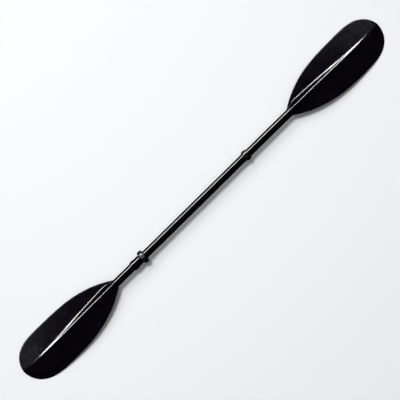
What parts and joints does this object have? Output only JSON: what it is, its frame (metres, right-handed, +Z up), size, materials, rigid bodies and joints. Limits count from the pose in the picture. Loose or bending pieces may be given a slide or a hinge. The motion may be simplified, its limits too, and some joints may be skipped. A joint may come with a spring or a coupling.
{
  "type": "kayak paddle",
  "caption": "Short double-bladed kayak paddle with spooned dihedral blades, a push-button take-apart joint with feather adjustment and a sliding drip ring.",
  "frame": {"origin": "on the ground, under the middle of the paddle's box", "axes": "+X along the shaft from the short section to the long section's blade, +Z up, out of the blades' back faces"},
  "size_m": [1.8, 0.1806, 0.0642],
  "materials": {
    "shaft_gloss": "high-gloss black coating on aluminium tube",
    "blade_plastic": "semi-gloss moulded nylon with a faint fine texture",
    "collar_plastic": "satin moulded plastic",
    "button_plastic": "semi-gloss dark grey moulding",
    "rubber_black": "soft satin rubber",
    "spigot_aluminium": "drawn, lightly scratched",
    "bright_steel": "stainless steel, satin",
    "closed_cell_foam": "closed-cell foam"
  },
  "bodies": {
    "long_section": {"long_shaft_tube": "shaft_gloss", "right_blade": "blade_plastic", "right_blade_rivet": "bright_steel", "long_tube_stopper": "closed_cell_foam", "collar_body": "collar_plastic", "collar_cover": "collar_plastic", "button_spring_left": "bright_steel", "button_spring_right": "bright_steel"},
    "release_button": {"push_button": "button_plastic", "latch_yoke": "bright_steel"},
    "drip_ring": {"drip_ring": "rubber_black"},
    "joint_seal": {"joint_seal": "rubber_black"},
    "short_section": {"short_shaft_tube": "shaft_gloss", "left_blade": "blade_plastic", "left_blade_rivet": "bright_steel", "joint_sleeve": "collar_plastic", "spigot": "spigot_aluminium", "spigot_pin_front": "bright_steel", "spigot_pin_rear": "bright_steel", "spigot_cap": "collar_plastic"}
  },
  "joints": [
    {"name": "button_press", "type": "slide", "parent": "long_section", "child": "release_button", "axis": [0, 0.1305, -0.9914], "range_m": [0, 0.0025], "stiffness_N_per_m": 800, "springref_m": -0.003, "deforming": ["button_spring_left", "button_spring_right"]},
    {"name": "pull_apart", "type": "slide", "parent": "long_section", "child": "joint_seal", "axis": [-1, 0, 0], "range_m": [0, 0.085]},
    {"name": "feather", "type": "hinge", "parent": "joint_seal", "child": "short_section", "pos_m": [-0.314, 0, 0.037], "axis": [1, 0, 0], "range_deg": [-60, 60]},
    {"name": "drip_ring_slide", "type": "slide", "parent": "long_section", "child": "drip_ring", "axis": [1, 0, 0], "range_m": [-0.499, 0.208]}
  ]
}
